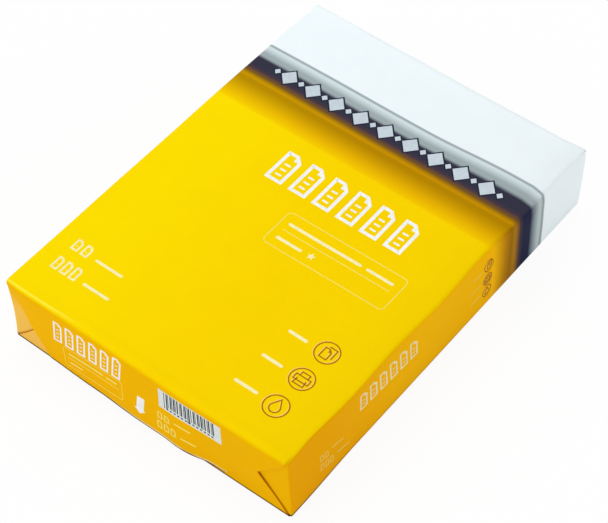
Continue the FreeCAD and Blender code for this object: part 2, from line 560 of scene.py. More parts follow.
def smooth(value, low, high):
    """0 up to low, 1 from high on, and 3t^2 - 2t^3 between them, where t is the share of the way."""
    share = np.clip((value - low) / (high - low), 0.0, 1.0)
    return share * share * (3.0 - 2.0 * share)


def spaced(start, end, step):
    """Evenly spaced values from start to end, no further apart than step."""
    return np.linspace(start, end, int(math.ceil(abs(end - start) / step)) + 1)


class Pack:
    """The pack's surfaces as formulas. Every piece takes its points from here, so that they all fit."""

    def __init__(self):
        low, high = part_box(NODE)
        shape = settings("shape")
        self.shape = shape
        self.height = high.z
        self.half_width = (high.x - low.x - abs(shape.skew)) / 2
        self.corner_y = {NEAR: low.y + shape.near_room, FAR: high.y - shape.far_room}
        self.bow = {NEAR: shape.near_bow, FAR: shape.far_bow}
        draw = np.random.default_rng(shape.wave_seed)
        directions = draw.normal(size=(WAVE_COUNT, 3))
        directions /= np.linalg.norm(directions, axis=1, keepdims=True)
        self.wave_numbers = 2 * math.pi * directions / draw.uniform(*WAVE_LENGTHS, size=(WAVE_COUNT, 1))
        self.wave_phases = draw.uniform(0, 2 * math.pi, size=WAVE_COUNT)
        self.wave_moves = draw.normal(size=(WAVE_COUNT, 3)) * shape.slack

    def warp(self, points):
        """Points moved with the slack wrapper and the skewed stack.

        The skew shifts X in proportion to the height above the pack's middle. Each wave is the cosine of the
        distance along its own direction, and moves a point along a fixed small vector. The waves fade out
        towards the underside, which stays flat.
        """
        height = points[..., 2]
        fade = smooth(height, 0.0, WAVE_FADE)[..., None]
        waves = np.cos(points @ self.wave_numbers.T + self.wave_phases) @ self.wave_moves
        moved = points + waves * fade
        places = np.moveaxis(points, -1, 0)
        moved[..., 0] += self.shape.skew * (height / self.height - 0.5) + self.out_of_line(*places)
        moved[..., 2] -= self.shape.droop * self.far_corner(*places, DROOP_REACH)
        return moved

    def far_corner(self, x, y, z, reach):
        """How near a point is to the top panel's far corner at +X: 1 there, and 0 from that reach on."""
        on_corner = smooth(x, CORNER_START * self.half_width, self.half_width)
        on_corner = on_corner * smooth(y, self.corner_y[FAR] - reach, self.corner_y[FAR])
        return on_corner * smooth(z, 0, self.height)

    def out_of_line(self, x, y, z):
        """How far along X a point moves: the sum of the wrapper's bows, waves and hollows.

        The long top edge at +X goes in and out as a cosine of Y, fading in from the near end, and flares
        towards its far corner. The near left upright edge is drawn in as 4s(1 - s), where s is the share of
        the height. The long top edge at -X bows out as a parabola over Y, and the near bottom corner at +X
        flares. Each fades out by smooth steps.
        """
        wide, high, near_y = self.half_width, self.height, self.corner_y[NEAR]
        crest = np.cos(2 * math.pi * (y - EDGE_WAVE_CREST) / EDGE_WAVE_PITCH) - EDGE_WAVE_INSET
        on_edge = smooth(x, wide - EDGE_WAVE_IN[0], wide - EDGE_WAVE_IN[1])
        on_edge = on_edge * smooth(z, EDGE_WAVE_UP[0] * high, high - EDGE_WAVE_UP[1])
        on_edge = on_edge * smooth(y, near_y, near_y + EDGE_WAVE_ALONG)
        share = np.clip(z / high, 0, 1)
        on_corner = 1 - smooth(x, -wide, -wide + HOLLOW_REACH[0])
        on_corner = on_corner * (1 - smooth(y, near_y, near_y + HOLLOW_REACH[1]))
        on_left = (1 - smooth(x, -wide, -0.5 * wide)) * smooth(z, 0, high)
        bow = np.clip(1 - (y / self.corner_y[FAR]) ** 2, 0, 1)
        on_foot = smooth(x, 0.5 * wide, wide) * (1 - smooth(z, 0, high))
        on_foot = on_foot * (1 - smooth(y, near_y + FOOT_FADE[0], near_y + FOOT_FADE[1]))
        return (self.shape.edge_wave * crest * on_edge
                + self.shape.corner_hollow * 4 * share * (1 - share) * on_corner
                + self.shape.flare * self.far_corner(x, y, z, FLARE_REACH)
                + self.shape.near_flare * on_foot
                - self.shape.left_bow * bow * on_left)

    def end_y(self, end, x):
        """Y of an end at its tucked-in side panels: a parabola over X, with the bow in its middle."""
        return self.corner_y[end] + end * self.bow[end] * (1 - (x / self.half_width) ** 2)

    def end_radius(self, end, upper):
        """Full radius between an end and the top panel or the underside."""
        if not upper:
            return self.shape.end_bottom
        return self.shape.end_top if end == NEAR else self.shape.far_top

    def end_rounding(self, end, x, upper):
        """Radius between an end and the top panel or the underside: it shrinks towards the corners.

        It does so over a short way at the right, and more slowly from further in at the left.
        """
        full = self.end_radius(end, upper)
        least = LEAST_ROUNDING * (self.shape.long_top if upper else self.shape.long_bottom)
        corner = self.half_width - self.shape.long_top
        share = smooth(corner - x, *ROUNDING_RIGHT) * smooth(corner + x, *ROUNDING_LEFT)
        return least + (full - least) * share

    def section(self, end):
        """The pack's cross-section as a closed loop: places, outward directions and an end's rounding there.

        It goes along the top panel to +X, down that side, back along the underside and up the other side.
        Each edge is a quarter circle. Beside the overlap the underside is hollow: deepest at the overlap's
        edge, and fading away in a straight line.
        """
        shape = self.shape
        top, bottom = shape.long_top, shape.long_bottom
        wide, high = self.half_width, self.height
        side = spaced(high - top, bottom, SLEEVE_STEP)[1:-1]
        flat = spaced(-(wide - top), wide - top, SLEEVE_STEP)[1:-1]
        edge, hollow = shape.overlap_edge, shape.hollow
        under = np.concatenate([
            spaced(wide - bottom, edge + hollow, SLEEVE_STEP)[1:],
            spaced(edge + hollow, edge, SLEEVE_STEP)[1:],
            spaced(edge - OVERLAP_STEP, -(wide - bottom), SLEEVE_STEP)[:-1],
        ])
        depth = shape.overlap_rise * np.clip((edge + hollow - under) / hollow, 0, 1)
        under_z = np.where(under >= edge, depth, 0.0)
        ones = np.ones_like
        runs = [
            (flat, high * ones(flat), 0 * flat, ones(flat), self.end_rounding(end, flat, True)),
            self.edge_arc(wide - top, high - top, top, 90, 0),
            (wide * ones(side), side, ones(side), 0 * side, self.side_rounding(side)),
            self.edge_arc(wide - bottom, bottom, bottom, 0, -90),
            (under, under_z, 0 * under, -ones(under), self.end_rounding(end, under, False)),
            self.edge_arc(-(wide - bottom), bottom, bottom, -90, -180),
            (-wide * ones(side), side[::-1], -ones(side), 0 * side, self.side_rounding(side[::-1])),
            self.edge_arc(-(wide - top), high - top, top, 180, 90),
        ]
        return [np.concatenate(values) for values in zip(*runs)]

    def edge_arc(self, x, z, radius, start, end):
        """A quarter circle of the cross-section about (x, z), from one angle to another in degrees."""
        turn = np.radians(np.linspace(start, end, ARC_POINTS + 1))
        return (x + radius * np.cos(turn), z + radius * np.sin(turn), np.cos(turn), np.sin(turn),
                np.full(turn.shape, LEAST_ROUNDING * radius))

    def side_rounding(self, z):
        """Radius between an end and a side: the upright edge's own half-way up, and less at its two ends."""
        shape = self.shape
        return np.interp(z, [shape.long_bottom, self.height / 2, self.height - shape.long_top],
                         [LEAST_ROUNDING * shape.long_bottom, shape.corner, LEAST_ROUNDING * shape.long_top])

    def block(self):
        """Rows of points over the whole wrapper out to its tucked-in side panels.

        Each row is the cross-section. On an end it is shrunk towards the middle, on an end's rounding it is
        drawn in by r(1 - cos a) while Y goes out by r sin a, and between the ends Y goes evenly from one to
        the other.
        """
        turn = np.radians(np.linspace(90, 0, ARC_POINTS + 1))[:, None]
        grow = 1 - np.linspace(1 - FIRST_ROW, 0.0, END_ROWS)[:-1, None]
        along = np.linspace(0, 1, int(2 * self.corner_y[FAR] / SLEEVE_STEP))[1:-1, None]
        middle = self.height / 2
        rows = []
        for end in (NEAR, FAR):
            x, z, out_x, out_z, radius = self.section(end)
            rim_x, rim_z = x - out_x * radius, z - out_z * radius
            face_x, face_z = rim_x * grow, middle + (rim_z - middle) * grow
            face = np.stack([face_x, self.end_y(end, face_x), face_z], -1)
            inset = radius * (1 - np.cos(turn))
            edge_x, edge_z = x - out_x * inset, z - out_z * inset
            edge_y = self.end_y(end, edge_x) - end * radius * (1 - np.sin(turn))
            whole = np.concatenate([face, np.stack([edge_x, edge_y, edge_z], -1)])
            rows.append(whole if end == NEAR else whole[::-1])
        near_row, far_row = rows[0][-1], rows[1][0]
        sleeve = near_row + (far_row - near_row) * along[..., None]
        return np.concatenate([rows[0], sleeve, rows[1]])

    def crossing(self, upper_slant, lower_slant):
        """Height at which an upper flap's side crosses the lower flap's."""
        upper, lower = math.tan(upper_slant), math.tan(lower_slant)
        return self.height * upper / (upper + lower)

    def swell(self, end, x, z):
        """How far the near flaps stand off at the right, where their sides cross: a bump like exp(-d^2)."""
        if end == FAR:
            return 0 * x
        slant = self.shape.lower_right_slant
        cross_z = self.crossing(self.shape.near_right_slant, slant)
        cross_x = self.half_width - cross_z * math.tan(slant)
        return SWELL * np.exp(-((x - cross_x) / SWELL_REACH) ** 2 - ((z - cross_z) / SWELL_REACH) ** 2)

    def flap_sides(self, end, upper, depth):
        """X of a flap's left and right side at a depth below its fold. Both start a little way in.

        A side is a hyperbola: square to the fold at first, and soon at the flap's slant.
        """
        if upper and end == NEAR:
            left, right = self.shape.near_left_slant, self.shape.near_right_slant
        elif upper:
            left = right = self.shape.far_slant
        else:
            left = self.shape.lower_slant
            right = self.shape.lower_right_slant if end == NEAR else left
        return (-self.half_width + np.hypot(FLAP_START, depth * math.tan(left)),
                self.half_width - np.hypot(FLAP_START, depth * math.tan(right)))

    def belly(self, x, z):
        """How far the near upper flap, which isn't glued there, leans out from the end.

        It grows evenly from the fold down. Along X it rises slowly from the left and falls fast at the right.
        """
        along_edge = smooth(x, *BELLY_RISE) * (1 - smooth(x, *BELLY_FALL))
        return self.shape.belly * along_edge * np.clip(1 - z / self.height, 0, 1)

    def flap_offset(self, end, upper, x, z):
        """How far a flap's face stands off the tucked-in side panels on an end.

        A lower flap is one fold out and an upper flap two, both with the swell added. The near upper flap has
        its belly and a faint ripple, and comes down to the side panel along its left side above the crossing.
        """
        if not upper:
            return self.shape.fold_rise + self.swell(end, x, z)
        offset = 2 * self.shape.fold_rise + self.swell(end, x, z)
        if end == NEAR:
            left, _ = self.flap_sides(end, True, self.height - z)
            cross = self.crossing(self.shape.near_left_slant, self.shape.lower_slant)
            hug = np.exp(-((x - left) / HUG_REACH) ** 2) * smooth(z, cross + HUG_RISE[0], cross + HUG_RISE[1])
            ripple = np.cos(2 * math.pi * (x / RIPPLE_PITCH[0] + z / RIPPLE_PITCH[1]))
            offset = offset + self.belly(x, z) + RIPPLE * ripple - HUG * hug
        return offset

    def flap_loop(self):
        """A flap's cross-section as a closed loop of three shares.

        It goes along the outer face, round a half circle at the folded side, back along the inner face and
        round the other side. The shares are the place across, from -1 to 1, how far past the folded side in
        half thicknesses, and how deep under the outer face in thicknesses.
        """
        lip = np.linspace(0, math.pi, LIP_POINTS + 2)[1:-1]
        across = np.linspace(-1, 1, int(2 * self.half_width / SLEEVE_STEP))
        level = 0 * across
        side = np.concatenate([across, 1 + 0 * lip, across[::-1], -1 + 0 * lip])
        beyond = np.concatenate([level, np.sin(lip), level, -np.sin(lip)])
        inward = np.concatenate([level, (1 - np.cos(lip)) / 2, 1 + level, (1 + np.cos(lip)) / 2])
        return [np.roll(values, LIP_POINTS // 2) for values in (side, beyond, inward)]

    def flap_path(self, lead, full, reach):
        """Distances along a flap's sheet: over the lead, the rounding, the end and the cut edge."""
        start = lead + full * math.pi / 2
        return np.concatenate([
            spaced(0, lead, LEAD_STEP)[:-1],
            np.linspace(lead, start, 2 * ARC_POINTS + 1)[:-1],
            start + spaced(0, reach - full - CUT_EDGE, FLAP_STEP)[:-1],
            start + reach - full - np.array(CUT_ROWS) * CUT_EDGE,
        ])

    def flap(self, end, upper):
        """Rows of points round a flap's sheet, from the panel that it leaves to its free edge.

        The sheet follows the panel, turns through the end's rounding and runs straight over the end. Its face
        starts just under the panel's surface and comes out by the flap's offset. With the rows come each
        point's shares of the way to the cut edge, over the last CUT_EDGE, and to the folded sides.
        """
        shape = self.shape
        full = self.end_radius(end, upper)
        reach = self.height - shape.flap_margin if upper else shape.lower_flap
        lead = UPPER_LEAD if upper else LOWER_LEAD
        quarter = full * math.pi / 2
        side, beyond, inward = self.flap_loop()
        path = self.flap_path(lead, full, reach)[:, None]
        round_depth = full * (1 - np.cos(np.clip((path - lead) / full, 0, math.pi / 2)))
        depth = np.where(path < lead + quarter, round_depth, path - lead - quarter + full)
        left, right = self.flap_sides(end, upper, depth)
        thick = shape.sheet + (shape.free_edge - shape.sheet) * smooth(depth, THINNING * reach, reach)
        x = (left + right) / 2 + side * (right - left) / 2 + beyond * thick / 2
        radius = self.end_rounding(end, x, upper)
        turn = np.clip((path - lead) / radius, 0, math.pi / 2)
        fall = radius * (1 - np.cos(turn)) + np.maximum(path - lead - radius * math.pi / 2, 0)
        z = self.height - fall if upper else fall
        if upper and end == NEAR:
            higher = sum(rise * smooth(x, low_x, high_x) for low_x, high_x, rise in FREE_EDGE_STEPS)
            z = z + higher * smooth(depth, FREE_EDGE_START * reach, reach)
        emerge = smooth(path, EMERGE[0] * lead, lead + EMERGE[1] * quarter)
        offset = emerge * (self.flap_offset(end, upper, x, z) + UNDER_PANEL) - UNDER_PANEL - inward * thick
        back = radius * (1 - np.sin(turn)) + np.maximum(lead - path, 0)
        y = self.end_y(end, x) + end * (offset * np.sin(turn) - back)
        drop = self.edge_drop(x, upper) * np.cos(turn)
        z = z + (1 if upper else -1) * (offset * np.cos(turn) - drop)
        edges = {
            "cut_edge": np.clip(1 - (reach - depth) / CUT_EDGE, 0, 1) + 0 * x,
            "fold_edge": np.where(np.abs(side) >= 1, FOLD_MARK, 0.0) + 0 * x,
        }
        return np.stack([x, y, z], -1), edges

    def edge_drop(self, x, upper):
        """How far a long edge's rounding, a quarter circle, lies below the panel's plane at x."""
        radius = self.shape.long_top if upper else self.shape.long_bottom
        past = np.clip(np.abs(x) - (self.half_width - radius), 0, MOST_DROP * radius)
        return radius - np.sqrt(radius * radius - past * past)

    def top_panel(self, u, v, rise):
        """Points on the top panel: u is X and v is Y."""
        return np.stack([u, v, self.height + rise], -1)

    def side_panel(self, u, v, rise):
        """Points on the +X side panel: u is Y and v is Z."""
        return np.stack([self.half_width + rise, u, v], -1)

    def near_panel(self, u, v, rise):
        """Points on the near upper flap: u is X and v is Z."""
        return np.stack([u, self.end_y(NEAR, u) - self.flap_offset(NEAR, True, u, v) - rise, v], -1)


def loft(rows, closed=False, fans=False):
    """Points and faces of the closed surface through rows of points, each row a loop.

    Neighbouring rows are joined by quads. If closed, the last row joins the first. Otherwise each end is
    filled, with triangles about its middle or with quads between the two halves of its loop. The faces are
    turned over if the volume that they enclose is negative.
    """
    count, size = rows.shape[:2]
    points = rows.reshape(-1, 3)
    index = np.arange(count * size).reshape(count, size)
    following = np.roll(index, -1, axis=1)
    if closed:
        here, there = (index, following), (np.roll(index, -1, axis=0), np.roll(following, -1, axis=0))
    else:
        here, there = (index[:-1], following[:-1]), (index[1:], following[1:])
    quads = np.stack([here[0], here[1], there[1], there[0]], -1).reshape(-1, 4)
    triangles = np.zeros((0, 3), int)
    if not closed and fans:
        points = np.concatenate([points, [rows[0].mean(axis=0), rows[-1].mean(axis=0)]])
        first, last = count * size, count * size + 1
        triangles = np.concatenate([
            np.stack([following[0], index[0], np.full(size, first)], -1),
            np.stack([index[-1], following[-1], np.full(size, last)], -1),
        ])
    elif not closed:
        low = np.arange(size // 2 - 1)
        strip = np.stack([low + 1, low, size - 1 - low, size - 2 - low], -1)
        quads = np.concatenate([quads, index[0][strip], index[-1][strip[:, ::-1]]])
    every = np.concatenate([quads[:, [0, 1, 2]], quads[:, [0, 2, 3]], triangles])
    corner = points[every]
    volume = np.einsum("ij,ij->i", corner[:, 0], np.cross(corner[:, 1], corner[:, 2])).sum()
    if volume < 0:
        quads, triangles = quads[:, ::-1], triangles[:, ::-1]
    return points, quads, triangles


def add_piece(name, lofts, material, shade_smooth, edges=None):
    """One mesh piece made of lofts, riding on the pack. A flap's edges go with it as attributes."""
    faces, points, start = [], [], 0
    for loft_points, quads, triangles in lofts:
        faces += (quads + start).tolist() + (triangles + start).tolist()
        points.append(loft_points)
        start += len(loft_points)
    mesh = bpy.data.meshes.new(name)
    mesh.from_pydata(np.concatenate(points), [], faces)
    mesh.polygons.foreach_set("use_smooth", [shade_smooth] * len(faces))
    mesh.materials.append(material)
    for key, share in (edges or {}).items():
        mesh.attributes.new(key, "FLOAT", "POINT").data.foreach_set("value", share.ravel())
    mesh.update()
    piece = bpy.data.objects.new(name, mesh)
    bpy.context.scene.collection.objects.link(piece)
    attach(piece, BODY)
    return piece


class Value:
    """An output of a material's node. Python's operators on it add Math nodes."""

    def __init__(self, tree, socket):
        self.tree = tree
        self.socket = socket

    def __add__(self, other):
        return self.tree.math("ADD", self, other)

    def __sub__(self, other):
        return self.tree.math("SUBTRACT", self, other)

    def __rsub__(self, other):
        return self.tree.math("SUBTRACT", other, self)

    def __mul__(self, other):
        return self.tree.math("MULTIPLY", self, other)

    def __truediv__(self, other):
        return self.tree.math("DIVIDE", self, other)

    __radd__ = __add__
    __rmul__ = __mul__


class Tree:
    """A node tree that is built by name, one node to a call."""

    def __init__(self, owner):
        owner.use_nodes = True
        self.nodes = owner.node_tree.nodes
        self.links = owner.node_tree.links
        self.nodes.clear()

    def add(self, kind, options, inputs, output=0):
        """One output of a node of that kind: its options are set first, then its inputs' values or links."""
        node = self.nodes.new(kind)
        for key, value in options.items():
            if key == "stops":
                set_stops(node.color_ramp, value)
            else:
                setattr(node, key, value)
        for key, value in inputs.items():
            if isinstance(value, Value):
                self.links.new(value.socket, node.inputs[key])
            else:
                node.inputs[key].default_value = value
        return Value(self, node.outputs[output]) if node.outputs else None

    def math(self, operation, first, second):
        """What a Math node makes of two values or numbers."""
        return self.add("ShaderNodeMath", {"operation": operation}, {0: first, 1: second})

    def axes(self, vector):
        """The X, Y and Z of a vector."""
        split = self.add("ShaderNodeSeparateXYZ", {}, {0: vector})
        return [Value(self, socket) for socket in split.socket.node.outputs]

    def noise(self, place, scale, detail):
        """Cloudy noise from 0 to 1, with about scale spots to a metre."""
        return self.add("ShaderNodeTexNoise", {}, {"Vector": place, "Scale": scale, "Detail": detail})

    def attribute(self, name):
        """A number that the mesh holds at each point, or 0 where it holds none of that name."""
        return self.add("ShaderNodeAttribute", {"attribute_name": name}, {}, output="Fac")

    def step(self, value, low, high):
        """The smooth step of a value: 0 up to low and 1 from high on."""
        return self.add("ShaderNodeMapRange", {"interpolation_type": "SMOOTHSTEP"},
                        {"Value": value, "From Min": low, "From Max": high})

    def mix(self, share, first, second, blend="MIX"):
        """A colour between two, by share of the second, or of what the blend makes of both."""
        return self.add("ShaderNodeMix", {"data_type": "RGBA", "blend_type": blend},
                        {0: share, 6: first, 7: second}, output=2)

    def scale(self, colour_value, factor):
        """A colour times a number."""
        return self.add("ShaderNodeVectorMath", {"operation": "SCALE"}, {0: colour_value, 3: factor})


def set_stops(ramp, stops):
    """Gives a colour ramp its stops, each a place from 0 to 1 and a colour."""
    while len(ramp.elements) < len(stops):
        ramp.elements.new(0.5)
    for element, (place, tone) in zip(ramp.elements, stops):
        element.position = place
        element.color = tone


def paper_finish(tree, place, base, roughness, mottle):
    """Coated paper: faintly cloudy ink, a satin gloss that varies with it, and dents over fine fibres."""
    clouds = tree.noise(place, *CLOUDS)
    fibres = tree.noise(place, *FIBRES)
    dents = tree.noise(place, *DENTS)
    tone = 1 + (clouds - 0.5) * mottle + (fibres - 0.5) * (FIBRE_MOTTLE * mottle)
    height = dents * DENT_BUMP + fibres * FIBRE_BUMP + clouds * CLOUD_BUMP
    bump = tree.add("ShaderNodeBump", {},
                    {"Strength": BUMP_STRENGTH, "Distance": BUMP_DEPTH, "Height": height})
    shader = tree.add("ShaderNodeBsdfPrincipled", {}, {
        "Base Color": tree.scale(base, tone),
        "Roughness": roughness + (clouds - 0.5) * GLOSS_CHANGE,
        "Specular IOR Level": SPECULAR,
        "Normal": bump,
    })
    tree.add("ShaderNodeOutputMaterial", {}, {0: shader})


def stripe_tone(name):
    """One of the stripes' colours, as a shader's socket takes it."""
    return (*getattr(settings("stripes"), name), 1.0)


def stripe_ramp(tree, along, stripes):
    """The colour at a place along the pack, from a list of places and the names of their colours."""
    start, end = stripes[0][0], stripes[-1][0]
    stops = [((place - start) / (end - start), stripe_tone(name)) for place, name in stripes]
    share = (along - start * MM) / ((end - start) * MM)
    return tree.add("ShaderNodeValToRGB", {"stops": stops}, {0: share})


class Spot:
    """Where a point of the paper lies and which way it faces, as values in a material."""

    def __init__(self, tree):
        self.tree = tree
        self.place = tree.add("ShaderNodeTexCoord", {}, {}, output="Object")
        normal = tree.add("ShaderNodeNewGeometry", {}, {}, output="Normal")
        self.across, self.along, self.height = tree.axes(self.place)
        facing_right, facing_far, self.facing_up = tree.axes(normal)
        self.facing_near = 0 - facing_far
        self.facing_side = facing_right * facing_right

    def past(self, name):
        """0 before one of the bands, 1 past it, and a smooth step over it."""
        measure, low, high = BANDS[name]
        return self.tree.step(getattr(self, measure), low, high)

    def before(self, name):
        """1 before one of the bands, 0 past it, and a smooth step over it."""
        return 1 - self.past(name)


def striped_print(tree, spot):
    """The stripes, which follow Y: the top panel's, and the side's where the surface turns over. The side's
    are deeper copies of the top's, as painted shade.

    The top's yellow and amber are warmer towards the right. Its dark stripe widens there, and a side's
    stripes lean towards the near end as they rise, so that both meet along the edge. The sides are deeper
    towards the near end. Painted shade darkens the top and ends a little towards the right, and the top's
    right edge more.
    """
    wider = spot.past("widened") - NARROWING * spot.past("narrowed")
    shift = spot.past("dark_stripe") * wider * WIDENING
    top = stripe_ramp(tree, spot.along - shift, TOP_STRIPES)
    warmer = spot.past("tinted") * spot.before("tint_end")
    top = tree.mix(warmer, top, stripe_tone("warmth"), blend="MULTIPLY")
    lean = spot.past("leaning") * spot.past("leaning_up") * LEAN + spot.past("under_top") * LEAN_UNDER_TOP
    # A side's stripes, deeper copies of the top's for painted shade, where the surface turns from the top
    base = tree.mix(spot.before("on_top"), top, stripe_ramp(tree, spot.along + lean, SHADED_SIDE_STRIPES))
    on_side = spot.past("on_side")
    base = tree.mix(on_side * spot.before("deepest"), base, stripe_tone("side_deep"))
    # Painted shade: a little darker towards the right, and more on the top's right edge
    painted_right_shade = PAINTED_SHADE_RIGHT * spot.past("rightwards") * (1 - on_side)
    painted_right_shade = painted_right_shade + PAINTED_SHADE_EDGE * spot.past("right_edge") * spot.past("on_top")
    return tree.scale(base, BRIGHTNESS - painted_right_shade)


def print_with_bare_edges_and_painted_light(tree, spot, base, tucked):
    """The print with painted light and shade and its bare cut edges, which stop before the white end.

    A painted highlight lies along the left of the near fold. On a tucked piece the near left corner is paler,
    and the folded sides carry painted shade. A flap's cut edge is bare towards the right. A painted shadow
    lies under it, in a line that is wider at the left, and round the bottom edge, less so past the near end.
    """
    def cover(colour_value, share, name):
        return tree.mix(share * COVER_STRENGTH[name], colour_value, stripe_tone(name))

    printed = spot.before("print")
    # Painted highlight along the left of the near fold
    on_fold_highlight = spot.past("fold_start") * spot.before("fold_end") * spot.past("rub_height")
    base = cover(base, on_fold_highlight * spot.before("rub_end") * printed, "fold")
    if tucked:
        corner = spot.before("fade_end") * spot.before("fade_height")
        base = cover(base, corner * spot.past("on_end"), "faded")
        # Painted shade along the lower flaps' folded sides
        base = cover(base, tree.step(tree.attribute("fold_edge"), *FOLD_GAP_SHADE) * printed, "gap")
    cut = tree.attribute("cut_edge")
    base = cover(base, tree.step(cut, *CUT_BARE) * spot.past("bare_start") * printed, "bare")
    # Painted shadow round the bottom edge, and under a cut edge in a line that is wider at the left
    foot = spot.before("foot") * spot.past("off_underside") * (1 - FOOT_SHADOW_LOSS * spot.past("clean_foot"))
    under = tree.step(cut + WIDER_LINE * spot.before("line_narrows"), *CUT_SHADOW)
    return cover(base, tree.math("MAXIMUM", under, foot) * printed, "grime")


def paper(name, tucked):
    """The printed wrapper: yellow, then stripes through amber, dark and grey to white, round the pack, with
    painted light and shade on them.

    Each of the two papers is made once: the tucked one, and the one of the outer flaps.
    """
    if name in bpy.data.materials:
        return bpy.data.materials[name]
    material = bpy.data.materials.new(name)
    tree = Tree(material)
    spot = Spot(tree)
    base = print_with_bare_edges_and_painted_light(tree, spot, striped_print(tree, spot), tucked)
    paper_finish(tree, spot.place, base, *PAPER_FINISH)
    return material


def ink(name):
    """Ink on the coated paper, thin in patches, with the paper's own fibres and dents. Each is made once."""
    if name in bpy.data.materials:
        return bpy.data.materials[name]
    tone = getattr(settings("inks"), name)
    material = bpy.data.materials.new(name)
    tree = Tree(material)
    place = tree.add("ShaderNodeTexCoord", {}, {}, output="Object")
    full = tree.step(tree.noise(place, *INK_PATCHES), *PATCH_EDGE)
    thin = [channel * THIN_INK for channel in tone]
    base = tree.mix(full, (*thin, 1.0), (*tone, 1.0))
    paper_finish(tree, place, base, *INK_FINISH)
    return material


def scaled(outline, middle, size):
    """An outline that is drawn about (0, 0) at size 1, as it lies about a middle at another size."""
    return np.asarray(middle, float) + np.asarray(outline, float) * size


class Marks:
    """Printed marks on one panel, given in millimetres. A place on the panel is a pair (u, v).

    Where the print runs askew on the paper, v grows with u by the slope, and u with v by the lean, both from
    the pivot on.
    """

    def __init__(self, pack, panel, rise=MARK_RISE, slope=0.0, lean=0.0, pivot=(0.0, 0.0)):
        self.pack = pack
        self.panel = getattr(pack, panel + "_panel")
        self.rise = rise
        self.slope = slope
        self.lean = lean
        self.pivot = (pivot[0] * MM, pivot[1] * MM)
        self.lofts = []

    def add_as(self, name, ink_name):
        """Makes one piece of all these marks, in one ink."""
        add_piece(name, self.lofts, ink(ink_name), False)

    def place(self, u, v, rise):
        """Points on the slack wrapper, so far off the paper. Here u and v are metres."""
        from_u, from_v = u - self.pivot[0], v - self.pivot[1]
        return self.pack.warp(self.panel(u + self.lean * from_v, v + self.slope * from_u, rise))

    def stroke(self, path, width, closed=False):
        """A strip of even or changing width along a path of straight runs, mitred at its corners.

        Each row of points goes across the face and back across the underside. A row lies along the mean of
        the directions square to the two runs that meet there, and is longer by 1 over the cosine of half
        their turn.
        """
        path = np.asarray(path, float) * MM
        width = np.broadcast_to(np.asarray(width, float) * MM, len(path))
        if closed:
            path = np.concatenate([path, path[:1]])
            width = np.concatenate([width, width[:1]])
        run = np.concatenate([[0], np.cumsum(np.linalg.norm(np.diff(path, axis=0), axis=1))])
        extra = np.linspace(0, run[-1], int(run[-1] / MARK_STEP) + 2)
        apart = np.abs(extra[:, None] - run[None, :]).min(axis=1) > NEAREST_POINT * MARK_STEP
        stops = np.sort(np.concatenate([run, extra[apart]]))
        line = np.stack([np.interp(stops, run, path[:, 0]), np.interp(stops, run, path[:, 1])], -1)
        half = np.interp(stops, run, width)[:, None] / 2
        if closed:
            line, half = line[:-1], half[:-1]
            before, after = line - np.roll(line, 1, axis=0), np.roll(line, -1, axis=0) - line
        else:
            steps = np.diff(line, axis=0)
            before, after = np.concatenate([steps[:1], steps]), np.concatenate([steps, steps[-1:]])
        before = before / np.linalg.norm(before, axis=1, keepdims=True)
        after = after / np.linalg.norm(after, axis=1, keepdims=True)
        mean = before + after
        mean = mean / np.linalg.norm(mean, axis=1, keepdims=True)
        square = np.stack([-mean[:, 1], mean[:, 0]], -1)
        mitre = 1 / np.maximum(LEAST_COSINE, np.sum(mean * after, axis=1, keepdims=True))
        columns = int(math.ceil(2 * half.max() / (ACROSS_STEPS * MARK_STEP))) + 1
        across = np.linspace(-1, 1, max(columns, 2))
        around = np.concatenate([across, across[::-1]])
        above = np.concatenate([0 * across + self.rise, 0 * across - MARK_SINK])
        spots = line[:, None, :] + square[:, None, :] * (half * mitre)[:, None, :] * around[None, :, None]
        u, v = spots[..., 0], spots[..., 1]
        rows = self.place(u, v, np.broadcast_to(above, u.shape))
        self.lofts.append(loft(rows, closed=closed))

    def bar(self, start, end, thick):
        """A straight bar with round ends: near an end its half-width is that of a circle."""
        start, end = np.asarray(start, float), np.asarray(end, float)
        total = np.linalg.norm(end - start)
        half = thick / 2
        turn = np.radians(np.linspace(*BAR_END))
        stops = np.concatenate([half * (1 - np.cos(turn)), total - half * (1 - np.cos(turn[::-1]))])
        width = thick * np.concatenate([np.sin(turn), np.sin(turn[::-1])])
        self.stroke(start + (end - start) * (stops / total)[:, None], width)

    def ring(self, middle, radius, thick, points=40):
        """A ring: a closed strip along a circle."""
        turn = np.linspace(0, 2 * math.pi, points, endpoint=False)
        self.stroke(scaled(np.stack([np.cos(turn), np.sin(turn)], -1), middle, radius), thick, closed=True)

    def plate(self, outline):
        """A small flat shape, filled from its middle."""
        outline = np.asarray(outline, float) * MM
        rises = np.array([[self.rise], [-MARK_SINK]])
        u = np.broadcast_to(outline[:, 0], (2, len(outline)))
        v = np.broadcast_to(outline[:, 1], (2, len(outline)))
        self.lofts.append(loft(self.place(u, v, np.broadcast_to(rises, u.shape)), fans=True))


def add_page(marks, low, high, thick, lines=0):
    """A page's outline between two opposite corners, its top right corner folded down, with lines across it.

    The folded corner is a filled triangle inside the outline.
    """
    (left, bottom), (right, top) = low, high
    half = thick / 2
    left, bottom, right, top = left + half, bottom + half, right - half, top - half
    fold = PAGE_FOLD * (right - left)
    fold_u, fold_v = right - fold, top - fold
    leg = fold - FOLD_SPACE * half
    marks.stroke([(left, bottom), (right, bottom), (right, fold_v), (fold_u, top), (left, top)], thick,
                 closed=True)
    marks.plate([(fold_u, fold_v), (fold_u + leg, fold_v), (fold_u, fold_v + leg)])
    margin = LINE_MARGIN * thick
    for number in range(lines):
        v = bottom + (number + 1) * (fold_v - bottom) / (lines + 1)
        marks.bar((left + margin, v), (right - margin, v), LINE_THICK * thick)


